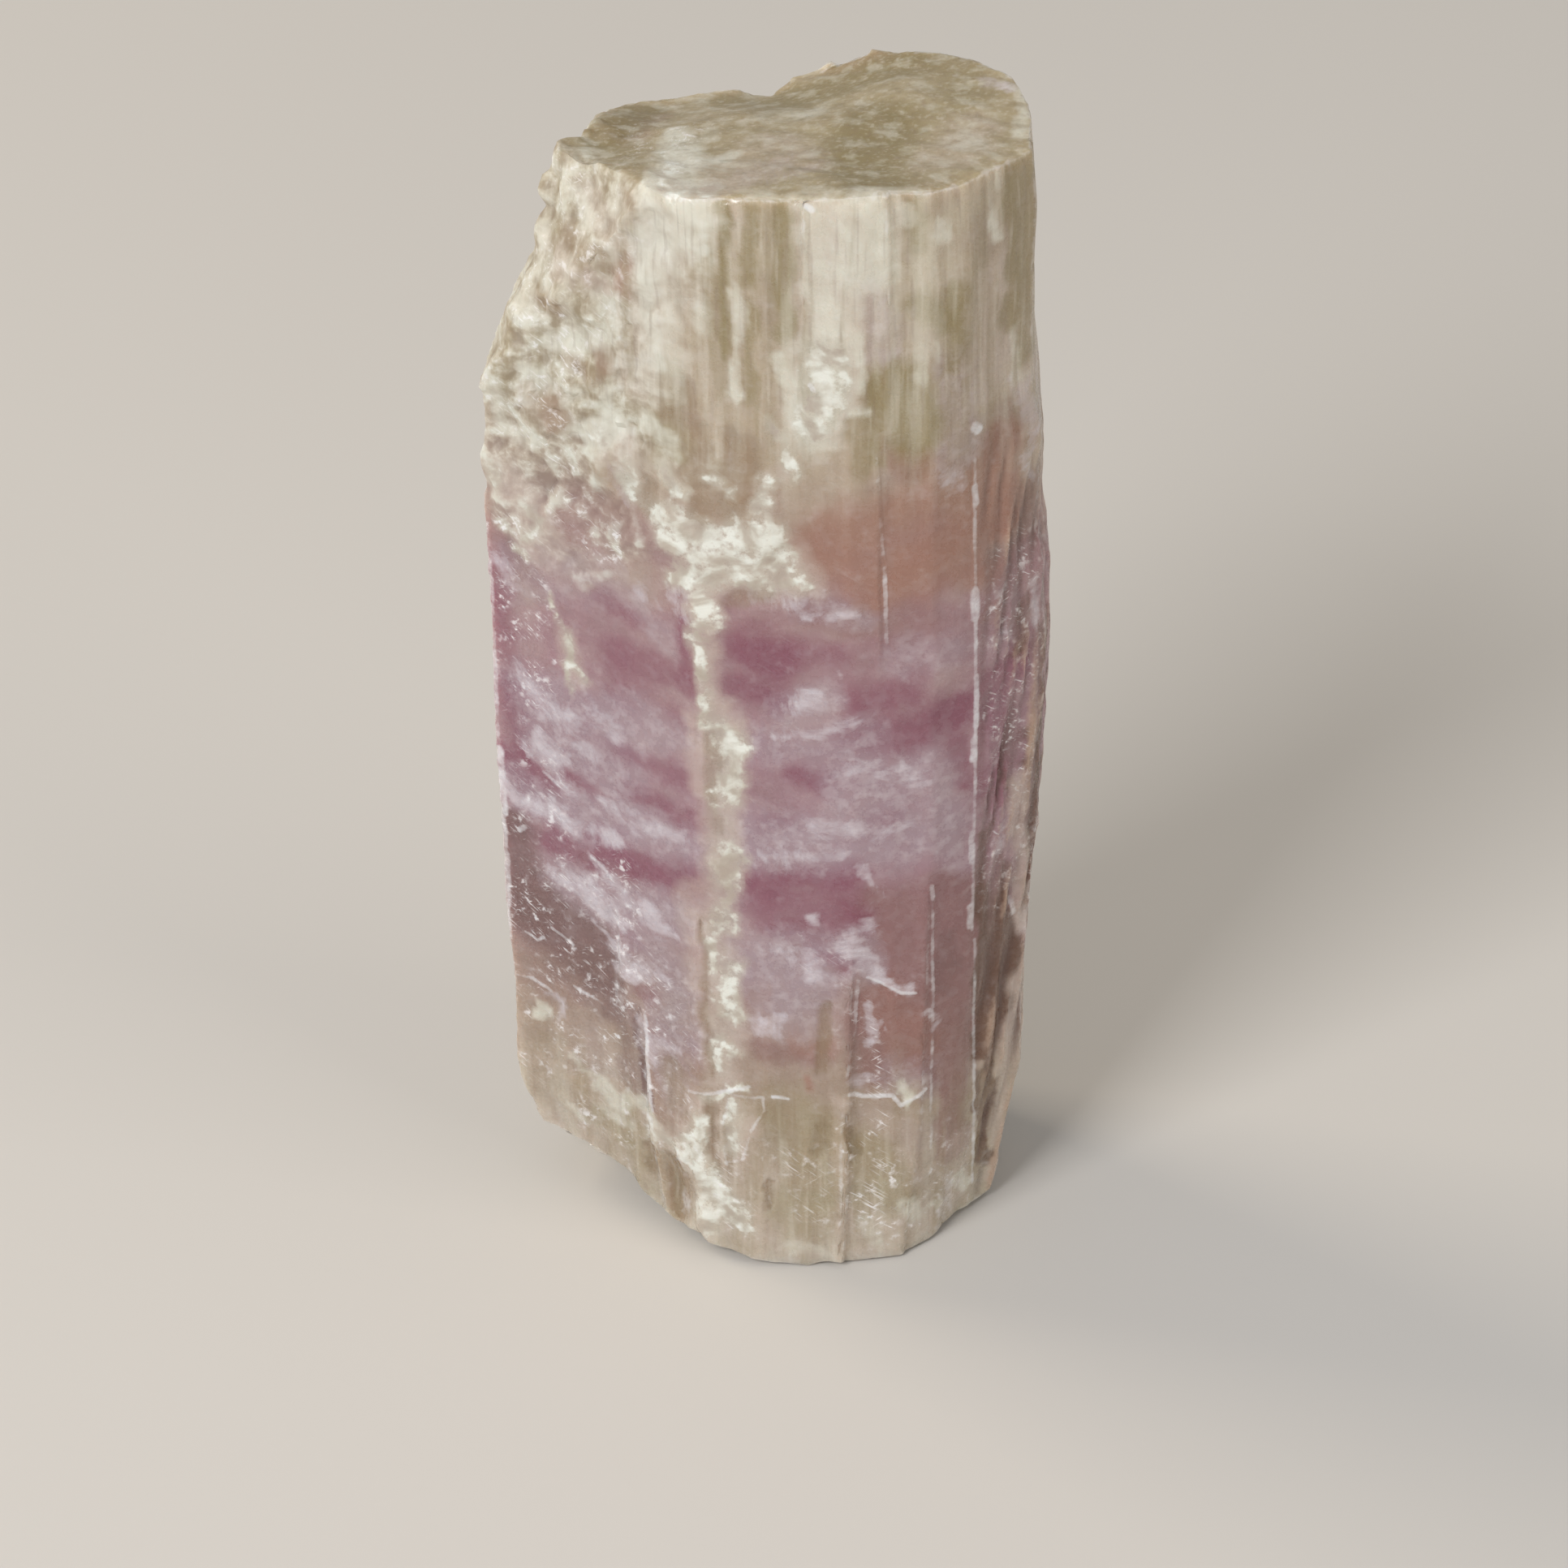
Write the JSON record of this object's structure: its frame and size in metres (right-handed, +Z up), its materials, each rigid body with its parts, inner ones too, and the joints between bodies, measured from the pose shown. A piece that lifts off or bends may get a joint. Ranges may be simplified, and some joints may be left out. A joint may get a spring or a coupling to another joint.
{
  "type": "aragonite crystal",
  "caption": "Upright six-sided aragonite twin with a broken shoulder, ledged faces and seams, standing on its flat broken foot.",
  "frame": {"origin": "middle of the crystal's extent, at the level its foot rests on", "axes": "+Z up along the prism, -Y towards the face with the twin seam, +X towards the fibrous right face"},
  "size_m": [0.0186, 0.0126, 0.0402],
  "materials": {
    "aragonite": "waxy, cloudy translucent"
  },
  "bodies": {
    "root": {"aragonite_crystal": "aragonite"}
  },
  "joints": []
}
